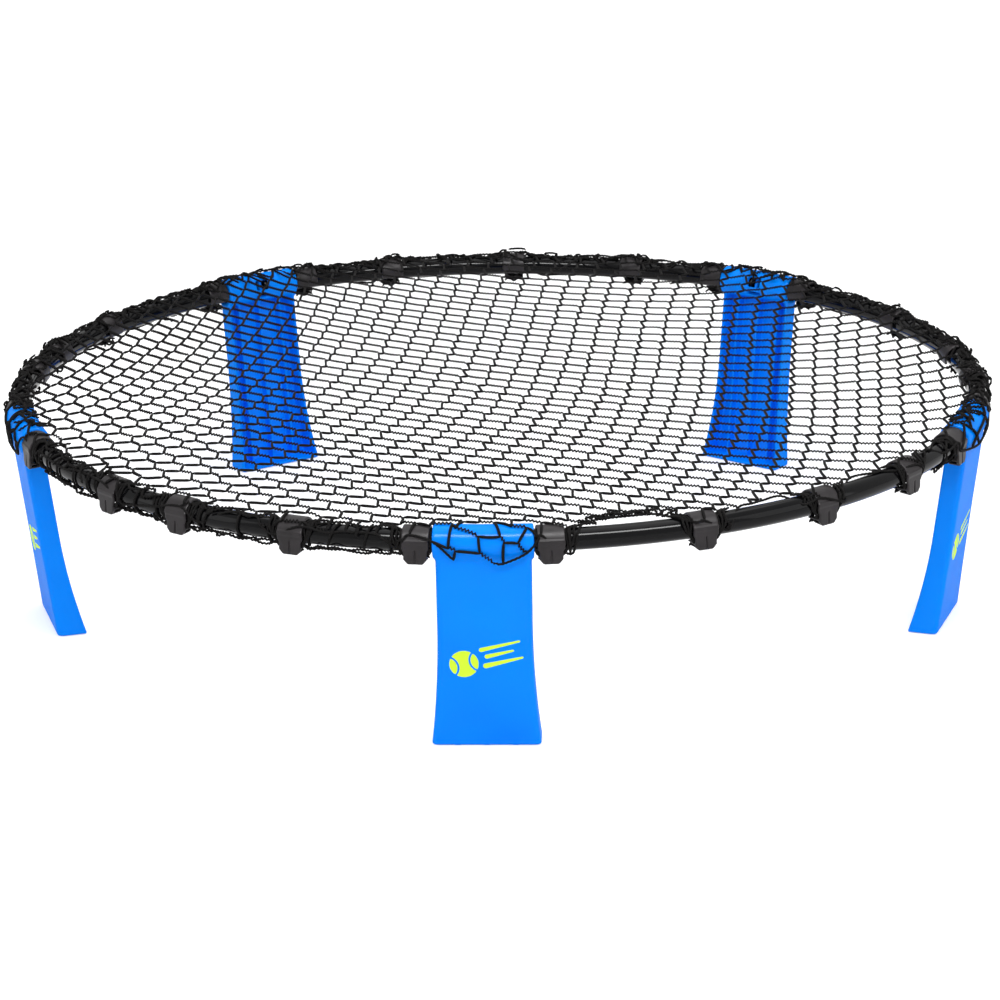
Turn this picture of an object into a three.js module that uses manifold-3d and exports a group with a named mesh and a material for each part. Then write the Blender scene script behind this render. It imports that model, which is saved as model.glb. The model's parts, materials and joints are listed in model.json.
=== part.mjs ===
// Roundnet set: a ring of five curved steel tubes, plugged into the sockets of five standing
// legs, with a net stretched across it and held by push-on clips with a hook below each tube.
// Millimetres, +Z up, the origin on the ground under the middle of the ring.
import * as THREE from 'three';
import Module from 'manifold-3d';

// The ring
const SIDES = 5; // tubes, and legs between them
const SIDE_DEG = 360 / SIDES;
const FIRST_LEG_DEG = -90; // the front leg
const RIM_R = 440; // middle of the ring to the tubes' centreline
const RIM_H = 182.5; // ground to the tubes' centreline

// The tubes
const TUBE_R = 9.6;
const TUBE_WALL = 1.2;
const TUBE_FACETS = 12;
const TUBE_BORE_FACETS = 6;
const TUBE_STEPS = 16;
const TUBE_END_GAP = 4.5; // leg's middle to a tube's end, inside the socket

// The legs
const BARREL_R = 14;
const BARREL_HALF = 40.6; // leg's middle to a socket's mouth
const BARREL_FACETS = 16;
const BORE_R = 10.6;
const STOP_HALF = 2; // half of the web between the two sockets
const FOOT_R = 428.8; // middle of the ring to the panel's outer face, at the ground
const LEAN = 0.119; // how far the outer face moves out per millimetre of height
const WAIST_HALF = 38.9;
const FLARE = 6; // extra half width at the ground
const FLARE_H = 110;
const FLANGE_DEPTH = 18.4;
const FLANGE_FOOT = 8.3; // extra depth of the flanges at the ground
const FLANGE_FOOT_H = 90;
const PANEL_WALL = 2.8;
const PANEL_EDGE = 2.6; // size of the rounded outer edges
const FOOT_PLATE = 3;
const PANEL_HEIGHTS = [0, 20, 45, 80, 120, RIM_H];
const RIB_WIDTH = 2.4;
const RIB_DEPTH = 10;
const RIB_OFFSETS = [-24, 0, 24];
const RIB_TOP = 170.5;
const BARREL_STOP = 1.5; // how far each half of the barrel runs past the leg's middle
const WINDOW_WIDTH = 15;
const WINDOW_IN_R = 8; // the windows' inner end, from the barrel's middle
const WINDOWS = [ // degrees above the horizontal, and height
  [22, 10],
  [-33, 5],
];

// The clips
const CLIP_BORE_R = 10.5;
const CLIP_R = 12.7;
const CLIP_WIDTH = 22.6;
const CLIP_TAB_WIDTH = 19.4;
const CLIP_TIP_WIDTH = 12;
const CLIP_HANG = 17.2; // tube's centreline to the tab's lower end
const CLIP_OPEN_DEG = 205; // the collar ends this far round from the outer side, over the top
const CLIP_ARC_STEPS = 9;
const GROOVE_WIDTH = 1.6;
const GROOVE_DEPTH = 0.8;
const GROOVE_TOP = -5.5; // from the tube's centreline
// Where the clips sit on each tube, in degrees round from the leg before it. They are pushed on
// by hand, so the middle ones aren't evenly spaced.
const CLIP_DEG = {
  front_right: [7, 23.5, 38.8, 53, 65],
  right: [7, 19, 30, 47, 65],
  back: [7, 19, 35.5, 52.5, 65],
  left: [7, 27, 40, 49, 65],
  front_left: [7, 26.5, 37.3, 51.5, 65],
};
const LEG_NAMES = ['front', 'right', 'back_right', 'back_left', 'left'];

// The net
const NET_R = 422; // inside the legs and the clips, so that it can give under the ball
const NET_THICK = 1.2;
const NET_H = RIM_H + TUBE_R; // the net is drawn flat over the tops of the tubes

const FINISH = {
  tube: { color: 0x0b0b0d, roughness: 0.15, metalness: 0.3 },
  leg: { color: 0x008cff, roughness: 0.3, metalness: 0 },
  clip: { color: 0x37333a, roughness: 0.45, metalness: 0 },
  net: { color: 0x141414, roughness: 0.9, metalness: 0 },
};

const wasm = await Module();
wasm.setup();

const rad = THREE.MathUtils.degToRad;
const deg = THREE.MathUtils.radToDeg;

// A manifold solid from a closed geometry.
function solid(geometry) {
  const bare = geometry.index ? geometry.toNonIndexed() : geometry;
  const corners = bare.getAttribute('position');
  const places = [];
  const indices = [];
  const known = new Map();
  for (let i = 0; i < corners.count; i += 1) {
    const place = [corners.getX(i), corners.getY(i), corners.getZ(i)];
    const key = place.map((value) => Math.round(value * 1e4)).join();
    if (!known.has(key)) {
      known.set(key, places.length / 3);
      places.push(...place);
    }
    indices.push(known.get(key));
  }
  const triangles = [];
  for (let i = 0; i < indices.length; i += 3) {
    const [a, b, c] = indices.slice(i, i + 3);
    if (a !== b && b !== c && c !== a) {
      triangles.push(a, b, c);
    }
  }
  return new wasm.Manifold(new wasm.Mesh({
    numProp: 3,
    vertProperties: new Float32Array(places),
    triVerts: new Uint32Array(triangles),
  }));
}

// A three.js geometry from a manifold solid.
function shape(body) {
  const mesh = body.getMesh();
  const geometry = new THREE.BufferGeometry();
  geometry.setAttribute('position', new THREE.BufferAttribute(mesh.vertProperties, 3));
  geometry.setIndex(new THREE.BufferAttribute(mesh.triVerts, 1));
  return geometry;
}

// A closed skin over convex sections with the same number of points, each counterclockwise as
// seen from the last section.
function loft(sections) {
  const count = sections[0].length;
  const triangles = [];
  for (let s = 0; s + 1 < sections.length; s += 1) {
    for (let i = 0; i < count; i += 1) {
      const a = s * count + i;
      const b = s * count + ((i + 1) % count);
      triangles.push(a, b, b + count, a, b + count, a + count);
    }
  }
  const last = (sections.length - 1) * count;
  for (let i = 1; i + 1 < count; i += 1) {
    triangles.push(0, i + 1, i, last, last + i, last + i + 1);
  }
  const geometry = new THREE.BufferGeometry();
  geometry.setAttribute('position', new THREE.Float32BufferAttribute(sections.flat(2), 3));
  geometry.setIndex(triangles);
  return geometry;
}

// A bar of round section that follows the ring between two angles.
function ringBar(radius, facets, fromDeg, toDeg) {
  const sections = [];
  for (let s = 0; s <= TUBE_STEPS; s += 1) {
    const along = rad(fromDeg + ((toDeg - fromDeg) * s) / TUBE_STEPS);
    const section = [];
    for (let i = 0; i < facets; i += 1) {
      const around = (-2 * Math.PI * (i + 0.5)) / facets;
      const out = RIM_R + radius * Math.cos(around);
      section.push([out * Math.cos(along), out * Math.sin(along), RIM_H + radius * Math.sin(around)]);
    }
    sections.push(section);
  }
  return solid(loft(sections));
}

// A rim tube, hollow from end to end, for the side that starts at the leg at 0 degrees.
function rimTube() {
  const endDeg = deg(TUBE_END_GAP / RIM_R);
  const outside = ringBar(TUBE_R, TUBE_FACETS, endDeg, SIDE_DEG - endDeg);
  const bore = ringBar(TUBE_R - TUBE_WALL, TUBE_BORE_FACETS, endDeg - 1, SIDE_DEG - endDeg + 1);
  return outside.subtract(bore);
}

// The outer face, the flanges' inner edges and the half width of a leg's panel at a height.
function panelAt(height) {
  const out = FOOT_R + LEAN * height;
  const deep = FLANGE_DEPTH + FLANGE_FOOT * Math.max(0, 1 - height / FLANGE_FOOT_H) ** 2;
  const half = WAIST_HALF + FLARE * Math.max(0, 1 - height / FLARE_H) ** 2;
  return { out, inside: out - deep, half };
}

function panelSection(height) {
  const { out, inside, half } = panelAt(height);
  const cut = PANEL_EDGE;
  const soft = PANEL_EDGE * 0.3;
  return [
    [inside, -half, height],
    [out - cut, -half, height],
    [out - soft, -half + soft, height],
    [out, -half + cut, height],
    [out, half - cut, height],
    [out - soft, half - soft, height],
    [out - cut, half, height],
    [inside, half, height],
  ];
}

// The room between the flanges, open towards the middle of the ring.
function cavitySection(height) {
  const { out, inside, half } = panelAt(height);
  const side = half - PANEL_WALL;
  return [
    [inside - 10, -side, height],
    [out - PANEL_WALL, -side, height],
    [out - PANEL_WALL, side, height],
    [inside - 10, side, height],
  ];
}

function ribSection(offset, height) {
  const back = panelAt(height).out - PANEL_WALL;
  const half = RIB_WIDTH / 2;
  return [
    [back - RIB_DEPTH, offset - half, height],
    [back + 0.5, offset - half, height],
    [back + 0.5, offset + half, height],
    [back - RIB_DEPTH, offset + half, height],
  ];
}

// A cylinder along one of a leg's two sockets. The sockets are tilted a little, so that each
// one lies along the curved tube end that it holds.
function alongSocket(radius, facets, from, to, side) {
  const mouthDeg = deg(Math.asin(BARREL_HALF / RIM_R));
  const tilt = rad((deg(TUBE_END_GAP / RIM_R) + mouthDeg) / 2);
  const sag = (RIM_R * (1 - Math.cos(rad(mouthDeg) - tilt))) / 2;
  const cylinder = new THREE.CylinderGeometry(radius, radius, to - from, facets);
  cylinder.rotateY(Math.PI / facets);
  cylinder.translate(0, (from + to) / 2 - RIM_R * Math.sin(tilt), 0);
  cylinder.translate(RIM_R - sag, 0, 0);
  cylinder.rotateZ(tilt);
  if (side < 0) {
    cylinder.rotateX(Math.PI);
  }
  cylinder.translate(0, 0, RIM_H);
  return solid(cylinder);
}

// An opening in the barrel's inner side, at an angle above the horizontal.
function barrelWindow(angleDeg, height) {
  const outerEnd = BARREL_R + 3;
  const box = new THREE.BoxGeometry(outerEnd - WINDOW_IN_R, WINDOW_WIDTH, height);
  box.translate(-(outerEnd + WINDOW_IN_R) / 2, 0, 0);
  box.rotateY(rad(angleDeg));
  box.translate(RIM_R, 0, RIM_H);
  return solid(box);
}

// A leg at 0 degrees: the barrel with its two sockets, and a ribbed channel down to the foot.
function leg() {
  const outside = solid(loft(PANEL_HEIGHTS.map(panelSection)));
  const room = solid(loft([FOOT_PLATE, ...PANEL_HEIGHTS.slice(1)].map(cavitySection)));
  let body = outside.subtract(room);
  for (const offset of RIB_OFFSETS) {
    body = body.add(solid(loft([FOOT_PLATE - 1, RIB_TOP].map((height) => ribSection(offset, height)))));
  }
  for (const side of [-1, 1]) {
    body = body.add(alongSocket(BARREL_R, BARREL_FACETS, -BARREL_STOP, BARREL_HALF, side));
  }
  for (const side of [-1, 1]) {
    body = body.subtract(alongSocket(BORE_R, BARREL_FACETS, STOP_HALF, BARREL_HALF + 10, side));
  }
  for (const [angleDeg, height] of WINDOWS) {
    body = body.subtract(barrelWindow(angleDeg, height));
  }
  return body;
}

// A clip at 0 degrees: a collar that snaps over the tube, with a tab hanging from its outer
// side and two jaws at the tab's end that hold the net's loops.
function clip() {
  const outline = [];
  const inline = [];
  for (let i = 0; i <= CLIP_ARC_STEPS; i += 1) {
    const around = rad((CLIP_OPEN_DEG * i) / CLIP_ARC_STEPS);
    outline.push(new THREE.Vector2(CLIP_R * Math.cos(around), CLIP_R * Math.sin(around)));
    inline.unshift(new THREE.Vector2(CLIP_BORE_R * Math.cos(around), CLIP_BORE_R * Math.sin(around)));
  }
  const jaws = [
    [9.6, -10.2],
    [0.6, -10.7],
    [0, -11.7],
    [1, -12.6],
    [8.2, -13],
    [8.2, -14.4],
    [2.6, -14.2],
    [1.8, -15.2],
    [2.8, -16.6],
    [10.6, -CLIP_HANG],
    [12.1, -15.6],
    [CLIP_R, -12.6],
  ].map(([out, up]) => new THREE.Vector2(out, up));
  const side = new THREE.Shape([...outline, ...inline, ...jaws]);
  const full = new THREE.ExtrudeGeometry(side, { depth: CLIP_WIDTH, bevelEnabled: false });
  full.translate(0, 0, -CLIP_WIDTH / 2);
  full.rotateX(Math.PI / 2);

  const wide = CLIP_WIDTH / 2 + 1;
  const tab = CLIP_TAB_WIDTH / 2;
  const front = new THREE.Shape([
    new THREE.Vector2(-CLIP_TIP_WIDTH / 2, -CLIP_HANG - 1),
    new THREE.Vector2(CLIP_TIP_WIDTH / 2, -CLIP_HANG - 1),
    new THREE.Vector2(tab, -12.8),
    new THREE.Vector2(tab, -7),
    new THREE.Vector2(wide, -3),
    new THREE.Vector2(wide, CLIP_R + 1),
    new THREE.Vector2(-wide, CLIP_R + 1),
    new THREE.Vector2(-wide, -3),
    new THREE.Vector2(-tab, -7),
    new THREE.Vector2(-tab, -12.8),
  ]);
  const mask = new THREE.ExtrudeGeometry(front, { depth: 3 * CLIP_R, bevelEnabled: false });
  mask.translate(0, 0, -1.5 * CLIP_R);
  mask.applyMatrix4(new THREE.Matrix4().makeBasis(
    new THREE.Vector3(0, 1, 0),
    new THREE.Vector3(0, 0, 1),
    new THREE.Vector3(1, 0, 0),
  ));

  const grooveLength = CLIP_HANG + GROOVE_TOP + 2;
  const groove = new THREE.BoxGeometry(2 * GROOVE_DEPTH, GROOVE_WIDTH, grooveLength);
  groove.translate(CLIP_R, 0, GROOVE_TOP - grooveLength / 2);

  return solid(full).intersect(solid(mask)).subtract(solid(groove));
}

// The net as one thin plain disc.
function net() {
  const disc = new THREE.CylinderGeometry(NET_R, NET_R, NET_THICK, 48);
  disc.rotateX(Math.PI / 2);
  disc.translate(0, 0, NET_H);
  return solid(disc);
}

const group = new THREE.Group();
group.name = 'roundnet_set';

function place(name, geometry, finish) {
  const mesh = new THREE.Mesh(geometry, new THREE.MeshStandardMaterial(finish));
  mesh.name = name;
  mesh.geometry.computeVertexNormals();
  group.add(mesh);
}

const tubeShape = shape(rimTube());
const legShape = shape(leg());
const clipShape = shape(clip());
clipShape.translate(RIM_R, 0, RIM_H);

LEG_NAMES.forEach((name, index) => {
  const turn = rad(FIRST_LEG_DEG + index * SIDE_DEG);
  place(`leg_${name}`, legShape.clone().rotateZ(turn), FINISH.leg);
});
Object.entries(CLIP_DEG).forEach(([name, angles], index) => {
  const startDeg = FIRST_LEG_DEG + index * SIDE_DEG;
  place(`rim_tube_${name}`, tubeShape.clone().rotateZ(rad(startDeg)), FINISH.tube);
  angles.forEach((angle, number) => {
    const turned = clipShape.clone().rotateZ(rad(startDeg + angle));
    place(`net_clip_${name}_${number + 1}`, turned, FINISH.clip);
  });
});
place('net', shape(net()), FINISH.net);

export default group;
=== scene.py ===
"""Roundnet set: five moulded legs, five gloss tubes, push-on clips and a knotless net of cord.

Lengths in this script are millimetres, and MM turns them into Blender's metres. A leg, a tube
and a clip are each drawn at 0 degrees, with x outwards, y along the ring and z up.
"""
import json
import math
from itertools import product

import bpy
import numpy as np
from mathutils import Matrix, Vector


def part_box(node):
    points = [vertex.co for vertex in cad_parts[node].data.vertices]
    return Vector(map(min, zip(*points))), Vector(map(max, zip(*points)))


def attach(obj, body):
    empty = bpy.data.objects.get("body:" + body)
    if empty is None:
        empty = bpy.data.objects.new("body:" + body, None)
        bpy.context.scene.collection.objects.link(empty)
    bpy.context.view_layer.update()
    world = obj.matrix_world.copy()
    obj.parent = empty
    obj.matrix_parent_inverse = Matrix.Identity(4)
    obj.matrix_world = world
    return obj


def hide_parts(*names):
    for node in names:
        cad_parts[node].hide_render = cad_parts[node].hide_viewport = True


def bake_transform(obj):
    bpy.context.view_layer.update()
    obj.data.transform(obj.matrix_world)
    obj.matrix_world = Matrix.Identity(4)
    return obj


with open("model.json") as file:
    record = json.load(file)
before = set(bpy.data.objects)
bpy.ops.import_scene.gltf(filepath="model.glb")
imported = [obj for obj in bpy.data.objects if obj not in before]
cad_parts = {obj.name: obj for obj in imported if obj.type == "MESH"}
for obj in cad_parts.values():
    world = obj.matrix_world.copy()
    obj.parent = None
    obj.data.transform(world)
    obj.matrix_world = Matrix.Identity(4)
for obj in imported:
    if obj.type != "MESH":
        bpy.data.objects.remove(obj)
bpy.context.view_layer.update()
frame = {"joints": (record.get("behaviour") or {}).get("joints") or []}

MM = 0.001
SIDES = ["front_right", "right", "back", "left", "front_left"]
LEGS = ["front", "right", "back_right", "back_left", "left"]
SIDE_DEG = 72.0
FIRST_LEG_DEG = -90.0

joints = {joint["name"]: joint for joint in frame["joints"]}


def clip_place(clip):
    """A clip's hinge: degrees round the ring, the ring's radius and its height."""
    x, y, z = joints[f"{clip}_tilt"]["pos_m"]
    return math.degrees(math.atan2(y, x)), math.hypot(x, y) / MM, z / MM


CLIPS = [f"net_clip_{side}_{number}" for side in SIDES for number in range(1, 6)]
RIM_R, RIM_H = clip_place(CLIPS[0])[1:]
CLIP_DEG = {clip: clip_place(clip)[0] for clip in CLIPS}
CLIP_PLACES = list(CLIP_DEG.values())
tube_low, tube_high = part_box("rim_tube_front_right")
TUBE_R = (tube_high[2] - tube_low[2]) / MM / 2
TUBE_WALL = 1.2

# The legs, as the CAD legs are
BARREL_R = 14.0
BARREL_HALF = 40.6
BORE_R = 10.0
FOOT_R = 428.8
LEAN = 0.119
WAIST_HALF = 38.9
FLARE, FLARE_H = 6.6, 110.0
FLANGE_DEPTH, FLANGE_FOOT, FLANGE_FOOT_H = 18.4, 8.3, 90.0
PANEL_WALL = 2.8
FOOT_PLATE = 3.0
RIB_OFFSETS = (-24.0, 0.0, 24.0)
RIB_HALF, RIB_DEPTH, RIB_TOP = 1.2, 10.0, 170.5
TUBE_END_GAP = 4.5
SOCKET_TILT = (math.asin(BARREL_HALF / RIM_R) + TUBE_END_GAP / RIM_R) / 2
SOCKET_X = RIM_R * (1 + math.cos(SOCKET_TILT)) / 2
WINDOWS = ((22.0, 10.0, 7.5), (-33.0, 5.0, 7.5))

# The clips, as the CAD clips are
COLLAR_MID_R, COLLAR_HALF = 11.6, 1.1
COLLAR_END_DEG = 205.0
CLIP_HALF, CLIP_TAB_HALF, CLIP_TIP_HALF = 11.3, 9.7, 6.0
CLIP_HANG = 17.2
COLLAR_OUT_R = COLLAR_MID_R + COLLAR_HALF

# The net's cord
CORD_R = 1.05
LINK_R = 1.25


# ---------------------------------------------------------------- meshes

def add_object(name, points, faces, material, smooth=True):
    """A mesh object from points in millimetres and a list of arrays of faces."""
    mesh = bpy.data.meshes.new(name)
    mesh.from_pydata([], [], [])
    mesh.vertices.add(len(points))
    mesh.vertices.foreach_set("co", (np.asarray(points, float) * MM).astype(np.float32).ravel())
    faces = [np.asarray(block, np.int32) for block in faces if len(block)]
    corners = np.concatenate([block.ravel() for block in faces])
    sizes = np.concatenate([np.full(len(block), block.shape[1], np.int32) for block in faces])
    mesh.loops.add(len(corners))
    mesh.loops.foreach_set("vertex_index", corners)
    mesh.polygons.add(len(sizes))
    starts = np.concatenate([[0], np.cumsum(sizes)[:-1]]).astype(np.int32)
    mesh.polygons.foreach_set("loop_start", starts)
    mesh.polygons.foreach_set("use_smooth", np.full(len(sizes), smooth))
    mesh.update(calc_edges=True)
    mesh.validate()
    mesh.materials.append(material)
    obj = bpy.data.objects.new(name, mesh)
    bpy.context.scene.collection.objects.link(obj)
    return obj


def smooth_max(a, b, size):
    """The larger of two distances, with the edge between them rounded over size."""
    near = np.maximum(size - np.abs(a - b), 0)
    return np.maximum(a, b) + near * near / (4 * size)


def smooth_min(a, b, size):
    return -smooth_max(-a, -b, size)


def implicit_surface(field, low, high, pitch):
    """Points and quads of the surface where field is 0, one point in each grid cell it crosses."""
    axes = [np.arange(lo, hi + pitch, pitch) for lo, hi in zip(low, high)]
    value = field(*np.meshgrid(*axes, indexing="ij"))
    inside = value < 0
    size = np.array(value.shape)
    corner_offsets = list(product((0, 1), repeat=3))
    filled = sum(
        inside[dx:size[0] - 1 + dx, dy:size[1] - 1 + dy, dz:size[2] - 1 + dz].astype(np.int8)
        for dx, dy, dz in corner_offsets
    )
    active = (filled > 0) & (filled < 8)
    number = np.full(active.shape, -1)
    number[active] = np.arange(active.sum())
    cells = np.argwhere(active)
    total = np.zeros((len(cells), 3))
    count = np.zeros(len(cells))
    for start in corner_offsets:
        for axis in range(3):
            if start[axis]:
                continue
            end = np.array(start)
            end[axis] = 1
            first = value[tuple((cells + start).T)]
            last = value[tuple((cells + end).T)]
            crossed = (first < 0) != (last < 0)
            share = np.where(crossed, first / np.where(crossed, first - last, 1), 0)
            place = np.array(start, float) + share[:, None] * (end - np.array(start))
            total += np.where(crossed[:, None], place, 0)
            count += crossed
    points = np.array(low) + pitch * (cells + total / count[:, None])
    quads = []
    for axis in range(3):
        u, v = (axis + 1) % 3, (axis + 2) % 3
        step = np.eye(3, dtype=int)
        lower = [slice(None)] * 3
        upper = [slice(None)] * 3
        lower[axis], upper[axis] = slice(0, -1), slice(1, None)
        change = np.argwhere(inside[tuple(lower)] != inside[tuple(upper)])
        change = change[(change[:, u] > 0) & (change[:, v] > 0)]
        change = change[(change[:, u] < size[u] - 1) & (change[:, v] < size[v] - 1)]
        around = [change - step[u] - step[v], change - step[v], change, change - step[u]]
        quad = np.stack([number[tuple(cell.T)] for cell in around], -1)
        outwards = inside[tuple(change.T)]
        quads.append(np.where(outwards[:, None], quad, quad[:, ::-1]))
    nudge = 0.2 * pitch
    for _ in range(3):
        here = field(*points.T)
        slope = np.stack([
            (field(*(points + nudge * side).T) - field(*(points - nudge * side).T)) / (2 * nudge)
            for side in np.eye(3)
        ], -1)
        move = (here / np.maximum((slope ** 2).sum(1), 0.1))[:, None] * slope
        points = points - np.clip(move, -0.3 * pitch, 0.3 * pitch)
    return points, np.concatenate(quads)


def turned(points, degrees):
    """Points turned about the ring's axis."""
    c, s = math.cos(math.radians(degrees)), math.sin(math.radians(degrees))
    return points @ np.array([[c, s, 0], [-s, c, 0], [0, 0, 1]])


# ---------------------------------------------------------------- materials

def new_material(name):
    material = bpy.data.materials.new(name)
    material.use_nodes = True
    nodes = material.node_tree.nodes
    shader = nodes["Principled BSDF"]
    return material, nodes, material.node_tree.links, shader


def noise_node(nodes, links, scale, detail=2.0):
    """A noise texture in the object's own space, scale in waves per metre."""
    space = nodes.new("ShaderNodeTexCoord")
    texture = nodes.new("ShaderNodeTexNoise")
    texture.inputs["Scale"].default_value = scale
    texture.inputs["Detail"].default_value = detail
    links.new(space.outputs["Object"], texture.inputs["Vector"])
    return texture


def ramp_node(nodes, links, source, stops):
    """Colours or greys for a value from 0 to 1, at the places in stops."""
    ramp = nodes.new("ShaderNodeValToRGB")
    elements = ramp.color_ramp.elements
    while len(elements) < len(stops):
        elements.new(0.5)
    for element, (place, colour) in zip(elements, stops):
        element.position = place
        element.color = (*colour, 1)
    links.new(source, ramp.inputs["Fac"])
    return ramp


def bump_node(nodes, links, height, strength, distance_mm, shader):
    bump = nodes.new("ShaderNodeBump")
    bump.inputs["Strength"].default_value = strength
    bump.inputs["Distance"].default_value = distance_mm * MM
    links.new(height, bump.inputs["Height"])
    links.new(bump.outputs["Normal"], shader.inputs["Normal"])
    return bump


def grey_stops(low, high, low_at=0.3, high_at=0.7):
    return [(low_at, (low,) * 3), (high_at, (high,) * 3)]


def leg_material():
    """Azure moulded plastic with a printed lime mark where the mark attribute is above 0."""
    material, nodes, links, shader = new_material("leg_plastic")
    cloud = noise_node(nodes, links, 14)
    blue = ramp_node(nodes, links, cloud.outputs["Fac"],
                     [(0.3, (0.0, 0.215, 0.93)), (0.7, (0.0, 0.245, 0.98))])
    mark = nodes.new("ShaderNodeAttribute")
    mark.attribute_name = "mark"
    edge = nodes.new("ShaderNodeMapRange")
    edge.inputs["From Min"].default_value = -0.12
    edge.inputs["From Max"].default_value = 0.12
    links.new(mark.outputs["Fac"], edge.inputs["Value"])
    ink = nodes.new("ShaderNodeMix")
    ink.data_type = "RGBA"
    links.new(edge.outputs["Result"], ink.inputs["Factor"])
    links.new(blue.outputs["Color"], ink.inputs[6])
    ink.inputs[7].default_value = (0.66, 0.98, 0.045, 1)
    links.new(ink.outputs[2], shader.inputs["Base Color"])
    grain = noise_node(nodes, links, 1500, 3)
    rough = ramp_node(nodes, links, cloud.outputs["Fac"], grey_stops(0.3, 0.38))
    links.new(rough.outputs["Color"], shader.inputs["Roughness"])
    bump_node(nodes, links, grain.outputs["Fac"], 0.12, 0.05, shader)
    shader.inputs["Specular IOR Level"].default_value = 0.0
    shader.inputs["Coat Weight"].default_value = 0.16
    shader.inputs["Coat Roughness"].default_value = 0.18
    return material


def tube_material():
    """Steel tube under a gloss black coating, with the coating's faint orange peel."""
    material, nodes, links, shader = new_material("tube_coating")
    cloud = noise_node(nodes, links, 40)
    black = ramp_node(nodes, links, cloud.outputs["Fac"],
                      [(0.3, (0.0025, 0.0025, 0.003)), (0.7, (0.004, 0.004, 0.0045))])
    links.new(black.outputs["Color"], shader.inputs["Base Color"])
    rough = ramp_node(nodes, links, cloud.outputs["Fac"], grey_stops(0.06, 0.11))
    links.new(rough.outputs["Color"], shader.inputs["Roughness"])
    peel = noise_node(nodes, links, 300, 1)
    bump_node(nodes, links, peel.outputs["Fac"], 0.05, 0.1, shader)
    shader.inputs["Specular IOR Level"].default_value = 0.12
    return material


def clip_material():
    """Charcoal moulded nylon with a fine satin grain."""
    material, nodes, links, shader = new_material("clip_plastic")
    cloud = noise_node(nodes, links, 90)
    grey = ramp_node(nodes, links, cloud.outputs["Fac"],
                     [(0.3, (0.015, 0.013, 0.014)), (0.7, (0.022, 0.019, 0.021))])
    links.new(grey.outputs["Color"], shader.inputs["Base Color"])
    rough = ramp_node(nodes, links, cloud.outputs["Fac"], grey_stops(0.36, 0.48))
    links.new(rough.outputs["Color"], shader.inputs["Roughness"])
    shader.inputs["Specular IOR Level"].default_value = 0.2
    grain = noise_node(nodes, links, 2500, 2)
    bump_node(nodes, links, grain.outputs["Fac"], 0.2, 0.05, shader)
    return material


def cord_material():
    """Black braided cord: fine slanted strands, matt, a little fuzzy."""
    material, nodes, links, shader = new_material("net_cord")
    strands = nodes.new("ShaderNodeTexWave")
    strands.wave_type = "BANDS"
    strands.bands_direction = "DIAGONAL"
    strands.inputs["Scale"].default_value = 500
    strands.inputs["Distortion"].default_value = 3
    strands.inputs["Detail"].default_value = 1
    space = nodes.new("ShaderNodeTexCoord")
    links.new(space.outputs["Object"], strands.inputs["Vector"])
    dark = ramp_node(nodes, links, strands.outputs["Fac"],
                     [(0.1, (0.003, 0.003, 0.003)), (0.9, (0.011, 0.010, 0.010))])
    links.new(dark.outputs["Color"], shader.inputs["Base Color"])
    rough = ramp_node(nodes, links, strands.outputs["Fac"], grey_stops(0.6, 0.8))
    links.new(rough.outputs["Color"], shader.inputs["Roughness"])
    shader.inputs["Specular IOR Level"].default_value = 0.06
    bump_node(nodes, links, strands.outputs["Fac"], 0.6, 0.3, shader)
    return material


# ---------------------------------------------------------------- the legs

# The box a leg is meshed in, the size of its cells, and where the windows cut the barrel
LEG_LOW, LEG_HIGH = (398.0, -47.0, -2.0), (457.0, 47.0, 199.0)
LEG_CELL = 1.0
WINDOW_IN, WINDOW_HALF_DEPTH = 12.5, 4.5


def leg_panel_at(z):
    """The outer face, the flanges' inner edges and the half width at a height."""
    out = FOOT_R + LEAN * z
    deep = FLANGE_DEPTH + FLANGE_FOOT * np.maximum(0, 1 - z / FLANGE_FOOT_H) ** 2
    half = WAIST_HALF + FLARE * np.maximum(0, 1 - z / FLARE_H) ** 2
    return out, out - deep, half


def socket_space(x, y, z):
    """Distance from the nearer socket's axis, and the way along it from the leg's middle."""
    c, s = math.cos(SOCKET_TILT), math.sin(SOCKET_TILT)
    across = x * c + np.abs(y) * s - SOCKET_X
    along = -x * s + np.abs(y) * c + RIM_R * s
    return np.hypot(across, z - RIM_H), along


def leg_field(x, y, z):
    """Below 0 inside a leg."""
    out, inner, half = leg_panel_at(z)
    wide = np.abs(y)
    shell = smooth_max(wide - half, x - out, 5.0)
    shell = smooth_max(shell, -z, 2.2)
    shell = smooth_max(shell, np.maximum(inner - x, z - RIM_H), 1.6)
    room = smooth_max(wide - half + PANEL_WALL, x - out + PANEL_WALL, 3.0)
    room = smooth_max(room, FOOT_PLATE - z, 3.0)
    body = smooth_max(shell, -room, 1.2)
    back = out - PANEL_WALL
    for offset in RIB_OFFSETS:
        rib = smooth_max(np.abs(y - offset) - RIB_HALF, back - RIB_DEPTH - x, 1.2)
        rib = np.maximum(rib, np.maximum(x - back - 1, np.maximum(1 - z, z - RIB_TOP)))
        body = smooth_min(body, rib, 2.0)
    radius, along = socket_space(x, y, z)
    barrel = smooth_max(radius - BARREL_R, along - BARREL_HALF, 1.8)
    body = smooth_min(body, barrel, 3.5)
    body = smooth_max(body, -np.maximum(radius - BORE_R, 2 - along), 0.9)
    for angle, height, half_width in WINDOWS:
        c, s = math.cos(math.radians(angle)), math.sin(math.radians(angle))
        deep = (x - RIM_R) * c - (z - RIM_H) * s
        rise = (x - RIM_R) * s + (z - RIM_H) * c
        gap = smooth_max(wide - half_width, np.abs(rise) - height / 2, 2.0)
        gap = np.maximum(gap, np.abs(deep + WINDOW_IN) - WINDOW_HALF_DEPTH)
        body = smooth_max(body, -gap, 0.9)
    return body


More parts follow.
